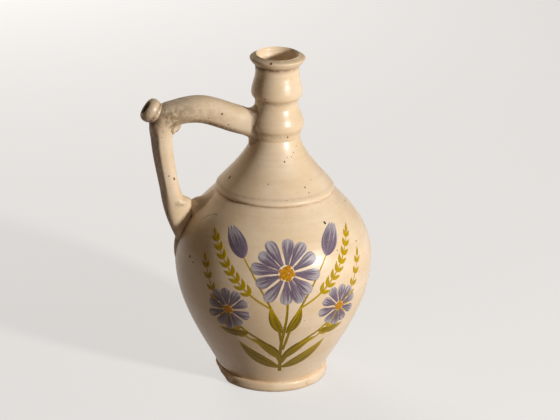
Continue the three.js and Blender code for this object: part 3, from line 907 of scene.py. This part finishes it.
# Pinholes all over the wall: number, heights and breadths in mm
SCATTERED_PITS = 150
SCATTER_HEIGHTS = (14, 288)
SCATTER_BREADTHS = (0.3, 0.8)
# Each pit is a low disc. Its lift off the glaze grows with its breadth.
PIT_SIDES = 10
PIT_DEPTH = 0.3 * MM
PIT_LIFT = 0.02 * MM
PIT_LIFT_SHARE = 0.03
PIT_SEED = 7


def pit_lift(breadth):
    return PIT_LIFT + PIT_LIFT_SHARE * breadth


def pit_edge(breadth, draw):
    """Offsets of an irregular pit's edge, across and along."""
    turns = np.linspace(0, 2 * np.pi, PIT_SIDES, endpoint=False)
    spread = breadth / 2 * np.array([draw.uniform(0.75, 1.2) for _ in turns])
    return spread * np.cos(turns), spread * np.sin(turns)


def add_pit(points, faces, rim, root, middle):
    """A low dark disc from its rim, the rim's root under the glaze and its middle."""
    start = len(points)
    points.extend([*rim, *root, middle])
    faces.extend(tuple(start + i for i in face[::-1]) for face in band_faces(2, PIT_SIDES))
    last = start + 2 * PIT_SIDES
    faces.extend((start + i, start + (i + 1) % PIT_SIDES, last) for i in range(PIT_SIDES))
    faces.append(tuple(range(last - 1, start + PIT_SIDES - 1, -1)))


def add_wall_pit(points, faces, bearing, height, breadth, draw):
    """A pit on the wall, at a height and with a breadth in mm."""
    height, breadth = height * MM, breadth * MM
    across, along = pit_edge(breadth, draw)
    bearings = bearing + np.degrees(across / wall_radius(bearing, height))
    rim = on_wall(bearings, height + along, pit_lift(breadth) + 0 * along)
    root = on_wall(bearings, height + along, -PIT_DEPTH + 0 * along)
    middle = on_wall(np.float64(bearing), np.float64(height), pit_lift(breadth))
    add_pit(points, faces, rim, root, middle)


def on_skin(skin, stations, turns):
    """Points of a handle skin at stations and turns in degrees."""
    ring, side = stations * RINGS_PER_STATION, turns / 360 * HANDLE_SIDES
    low_ring, low_side = np.floor(ring).astype(int), np.floor(side).astype(int)
    places = np.zeros((len(ring), 3))
    for i, j in ((0, 0), (0, 1), (1, 0), (1, 1)):
        share = (1 - np.abs(low_ring + i - ring)) * (1 - np.abs(low_side + j - side))
        places += share[:, None] * skin[low_ring + i, (low_side + j) % HANDLE_SIDES]
    return places


def add_handle_pit(points, faces, skin, place, draw):
    station, turn, breadth = place
    across, along = pit_edge(breadth * MM, draw)
    ring = int(station * RINGS_PER_STATION)
    ring_gap = np.linalg.norm(handle_middle[ring + 1] - handle_middle[ring])
    stations = station + along / ring_gap / RINGS_PER_STATION
    turns = turn + np.degrees(across / (handle_thickness[ring] / 2))
    edge = on_skin(skin, stations, turns)
    outwards = np.cross(np.roll(edge, -1, axis=0) - edge, np.roll(edge, -2, axis=0) - edge).sum(axis=0)
    outwards = outwards / np.linalg.norm(outwards)
    lift = outwards * pit_lift(breadth * MM)
    middle = on_skin(skin, np.array([station]), np.array([turn]))[0]
    add_pit(points, faces, edge + lift, edge - outwards * PIT_DEPTH, middle + lift)


def pinholes():
    draw = random.Random(PIT_SEED)
    points, faces = [], []
    for place in PITS:
        add_wall_pit(points, faces, *place, draw)
    for share in np.linspace(0, 1, SCRATCH_FLECKS):
        bearing, height = (first + share * (last - first) for first, last in zip(*SCRATCH_ENDS))
        height = height + SCRATCH_BOW * math.sin(math.pi * share)
        add_wall_pit(points, faces, bearing, height, draw.uniform(*SCRATCH_BREADTHS), draw)
    for _ in range(SCATTERED_PITS):
        height, bearing = draw.uniform(*SCATTER_HEIGHTS), draw.uniform(-180, 180)
        add_wall_pit(points, faces, bearing, height, draw.uniform(*SCATTER_BREADTHS), draw)
    for skin, places in ((handle_skin(handle_unevenness()), HANDLE_PITS), (collar_skin(), FOOT_CRACKS)):
        for place in places:
            add_handle_pit(points, faces, skin, place, draw)
    join_frame(make_piece("glaze_pinholes", np.array(points), faces, pit_brown_and_mouth_shade), "bare_clay")


pinholes()


# Painted spray, drawn on a flat sheet, x to the right and y up from its foot, and laid on the belly

belly_line = wall_lines["belly"][0]
belly_arc = line_reach(belly_line)
paint_start = np.interp(PAINT_FOOT_HEIGHT, belly_line[:, 1], belly_arc)


def on_belly(x, y, lift):
    """Points of the flat sheet laid on the belly, lifted off its skin."""
    unit = PAINT_SCALE * MM
    heights = np.interp(paint_start + y * unit, belly_arc, belly_line[:, 1])
    return on_wall(PAINT_BEARING + np.degrees(x * unit / solid_radius(heights)), heights, lift)


class Brushwork:
    """Strokes of one paint: thin closed flakes that follow the belly."""

    COLUMNS = 9

    def __init__(self, lift):
        self.lift = lift
        self.points = []
        self.faces = []
        self.layers = {"along": [], "across": [], "stroke": []}
        self.count = 0

    def stroke(self, line, half_width, rows=18):
        """Paints along a line, its half width a function of the share of its length."""
        self.count += 1
        dense = smooth_line(line, 12) if len(line) > 2 else np.asarray(line, float)
        reach = line_reach(dense)
        share = np.linspace(0, 1, rows)
        places = np.stack([np.interp(share * reach[-1], reach, dense[:, i]) for i in (0, 1)], -1)
        aside = headings(places)[:, ::-1] * (1, -1)
        half = np.array([half_width(s) for s in share])[:, None]
        across = np.linspace(-1, 1, self.COLUMNS)
        flat = places[:, None, :] + aside[:, None, :] * (half * across)[..., None]
        lift = self.lift * (1 - across ** 6) + 0 * half
        top = on_belly(flat[..., 0], flat[..., 1], lift + STROKE_STEP * self.count)
        bottom = on_belly(flat[..., 0], flat[..., 1], np.full_like(lift, -PAINT_ROOT))
        self.add_rings(np.concatenate([top, bottom[:, ::-1]], axis=1))
        both = np.concatenate([across, across[::-1]])
        self.layers["along"].append(np.repeat(share, len(both)))
        self.layers["across"].append(np.tile(both, rows))
        self.layers["stroke"].append(np.full(rows * len(both), float(self.count)))

    def add_rings(self, rings):
        start = sum(len(p) for p in self.points)
        faces = tube_faces(*rings.shape[:2], flipped=True)
        self.faces += [tuple(start + i for i in face) for face in faces]
        self.points.append(rings.reshape(-1, 3))

    def finish(self, name, material, slot):
        layers = {label: np.concatenate(values) for label, values in self.layers.items()}
        join_frame(make_piece(name, np.vstack(self.points), self.faces, material, layers), slot)


def leaf_width(breadth):
    return lambda s: breadth / 2 * max(math.sin(math.pi * s ** 0.8), 0.0) ** 0.9 + 0.05


def petal_width(breadth):
    """Half width of a petal that broadens from its root to a blunt tip."""
    return lambda s: breadth / 2 * (0.25 + 0.75 * math.sin(math.pi / 2 * s) ** 1.5) * (1 - s ** 7) ** 0.5


def stem_width(breadth):
    return lambda s: breadth / 2 * (1.1 - 0.5 * s)


def direction(bearing):
    """The direction on the sheet at a bearing from straight up."""
    turn = math.radians(bearing)
    return np.array([math.sin(turn), math.cos(turn)])


def arc_from(start, bearing, length, bend=0.0, steps=6):
    """A line that leaves start at a bearing from straight up and bends by some degrees."""
    places = [np.array(start, float)]
    for i in range(steps):
        places.append(places[-1] + length / steps * direction(bearing + bend * (i + 0.5) / steps))
    return places


def daisy(petals, eyes, middle, radius, count, start):
    """A ring of slender petals round a dabbed eye."""
    for i in range(count):
        bearing = start + 360 * i / count + 4 * math.sin(5 * i)
        length = radius * (0.76 + 0.05 * math.sin(3 * i))
        root = np.array(middle) + 0.24 * radius * direction(bearing)
        breadth = 2 * math.pi * radius / count * 0.82
        petals.stroke(arc_from(root, bearing, length, 6 * math.sin(2 * i)), petal_width(breadth))
    for i in range(14):
        turn = 2.4 * i
        away = 0.055 * radius * math.sqrt(i)
        dab = np.array(middle) + away * np.array([math.cos(turn), math.sin(turn)])
        half = 0.08 * radius * direction(math.degrees(5 * i))
        eyes.stroke([dab - half, dab + half], leaf_width(0.13 * radius), rows=7)


def bell(petals, leaves, root, bearing, size):
    """A closed bell of three petals in a green cup."""
    for spread in (-19, 19, 0):
        petals.stroke(arc_from(root, bearing + spread, size, -1.4 * spread), leaf_width(0.40 * size))
    for spread in (-34, 34):
        cup = arc_from(root, bearing + spread, 0.55 * size, -2.2 * spread)
        leaves.stroke(cup, leaf_width(0.16 * size))


def leafy_sprig(sprigs, start, bearing, length, bend, pairs):
    """A thin stem with pairs of short leaflets and one at its tip."""
    line = arc_from(start, bearing, length, bend)
    sprigs.stroke(line, stem_width(1.5), rows=26)
    dense = smooth_line(line, 12)
    for i in range(pairs):
        share = 0.28 + 0.68 * i / (pairs - 1)
        spot = int(share * (len(dense) - 1))
        heading = dense[min(spot + 1, len(dense) - 1)] - dense[spot - 1]
        facing = math.degrees(math.atan2(heading[0], heading[1]))
        size = 9.5 - 3.5 * share
        for side in (-1, 1):
            leaflet = arc_from(dense[spot], facing + side * 48, size, -side * 24)
            sprigs.stroke(leaflet, leaf_width(3.0), rows=9)
    sprigs.stroke(arc_from(dense[-1], bearing + bend, 7.0), leaf_width(3.0), rows=9)


def painted_spray():
    """An upright spray: a large daisy, two smaller ones, two bells, paired leaves and leafy sprigs."""
    stems, leaves, sprigs = Brushwork(STEM_LIFT), Brushwork(LEAF_LIFT), Brushwork(STEM_LIFT)
    petals, eyes = Brushwork(PETAL_LIFT), Brushwork(EYE_LIFT)
    stems.stroke([(0, 4), (-1.5, 34), (1.0, 66), (0, 96)], stem_width(2.6), rows=30)
    for side in (-1, 1):
        low_stem = [(0, 14), (side * 10, 34), (side * 30, 50), (side * 42, 62)]
        high_stem = [(0, 30), (side * 7, 62), (side * 22, 92), (side * 31, 108)]
        stems.stroke(low_stem, stem_width(2.2), rows=26)
        stems.stroke(high_stem, stem_width(2.0), rows=26)
        leaves.stroke(arc_from((0, 8), side * 62, 44, -side * 26), leaf_width(9.5))
        leaves.stroke(arc_from((0, 18), side * 28, 34, side * 34), leaf_width(8.0))
        leaves.stroke(arc_from((side * 1, 48), side * 40, 27, -side * 36), leaf_width(7.5))
        leaves.stroke(arc_from((side * 26, 47), side * 108, 24, -side * 40), leaf_width(7.0))
        leafy_sprig(sprigs, (side * 6, 30), side * 66, 92, -side * 52, 9)
        leafy_sprig(sprigs, (side * 11.5, 71), side * 62, 64, -side * 40, 8)
        daisy(petals, eyes, (side * 43, 66), 17.5, 10, 8 * side)
        bell(petals, leaves, (side * 31, 107), side * 22, 24)
    daisy(petals, eyes, (0, 98), 25.0, 12, 5)
    stems.finish("painted_stems", leaf_paint, "leaf_paint")
    leaves.finish("painted_leaves", leaf_paint, "leaf_paint")
    sprigs.finish("painted_sprigs", sprig_paint, "leaf_paint")
    petals.finish("painted_petals", violet_paint, "violet_paint")
    eyes.finish("painted_eyes", ochre_paint, "ochre_paint")


painted_spray()


# Stage: floor, light and camera

FLOOR_SIZE = 12.0
FLOOR_OWN_LIGHT = 0.68
# Lamps: bearing and elevation in degrees, distance, size, power
KEY_LAMP = (-45, 18, 1.7, 0.16, 28.5)
FILL_LAMP = (105, 20, 2.0, 1.0, 23.0)
AMBIENT = (1.0, 0.85, 0.71, 1.0)
AMBIENT_STRENGTH = 0.105
CAMERA_PLACE = Vector((-212.5, -1512.1, 756.0)) * MM
CAMERA_LENS = 118.93
CAMERA_SENSOR = 36
CAMERA_PITCH = math.radians(21.49)
CAMERA_YAW = math.radians(0.195)
CAMERA_ROLL = math.radians(1.335)
AIM_HEIGHT = 150 * MM


def floor_material():
    """A pale matt floor that keeps the shadow. It throws less light up than the eye and the glaze see."""
    shade = Shader("floor", 1.0)
    rays = shade.tree.nodes.new("ShaderNodeLightPath").outputs
    bounce = shade.blend(rays["Is Diffuse Ray"], FLOOR_PALE, FLOOR_BOUNCE)
    matt = shade.node("ShaderNodeBsdfDiffuse", {}, {"Color": bounce}).outputs["BSDF"]
    glow = shade.node("ShaderNodeEmission", {}, {"Color": FLOOR_PALE}).outputs["Emission"]
    seen = shade.math("MAXIMUM", rays["Is Camera Ray"], rays["Is Glossy Ray"])
    mix = shade.node("ShaderNodeMixShader", {}, {0: shade.times(seen, FLOOR_OWN_LIGHT), 1: matt, 2: glow})
    shade.feed(shade.tree.nodes["Material Output"].inputs["Surface"], mix.outputs["Shader"])
    shade.tree.nodes.remove(shade.surface)
    return shade.material


def make_floor():
    half = FLOOR_SIZE / 2
    corners = [(-half, -half, 0), (half, -half, 0), (half, half, 0), (-half, half, 0)]
    floor = make_piece("floor", corners, [(0, 1, 2, 3)], floor_material())


def add_lamp(name, bearing, elevation, distance, size, power):
    """A square lamp that faces the middle of the jug."""
    lamp = bpy.data.lights.new(name, "AREA")
    lamp.energy = power
    lamp.size = size
    light = bpy.data.objects.new(name, lamp)
    turn, rise = math.radians(bearing), math.radians(elevation)
    away = Vector((math.cos(turn) * math.cos(rise), math.sin(turn) * math.cos(rise), math.sin(rise)))
    light.location = Vector((0, 0, AIM_HEIGHT)) + away * distance
    light.rotation_euler = (-away).to_track_quat("-Z", "Y").to_euler()
    bpy.context.scene.collection.objects.link(light)
    return light


def make_light():
    add_lamp("key", *KEY_LAMP)
    fill = add_lamp("fill", *FILL_LAMP)
    fill.visible_glossy = False
    world = bpy.data.worlds.new("ambient")
    world.use_nodes = True
    background = world.node_tree.nodes["Background"]
    background.inputs["Color"].default_value = AMBIENT
    background.inputs["Strength"].default_value = AMBIENT_STRENGTH
    bpy.context.scene.world = world


def make_camera():
    lens = bpy.data.cameras.new("camera")
    lens.lens = CAMERA_LENS
    lens.sensor_width = CAMERA_SENSOR
    heading = math.atan2(-CAMERA_PLACE.y, -CAMERA_PLACE.x) - CAMERA_YAW
    turns = ((heading - math.pi / 2, "Z"), (math.pi / 2 - CAMERA_PITCH, "X"), (CAMERA_ROLL, "Z"))
    place = Matrix.Translation(CAMERA_PLACE)
    for turn, axis in turns:
        place = place @ Matrix.Rotation(turn, 4, axis)
    camera = bpy.data.objects.new("camera", lens)
    camera.matrix_world = place
    bpy.context.scene.collection.objects.link(camera)
    bpy.context.scene.camera = camera


make_floor()
make_light()
make_camera()
bpy.context.scene.view_settings.view_transform = "Standard"
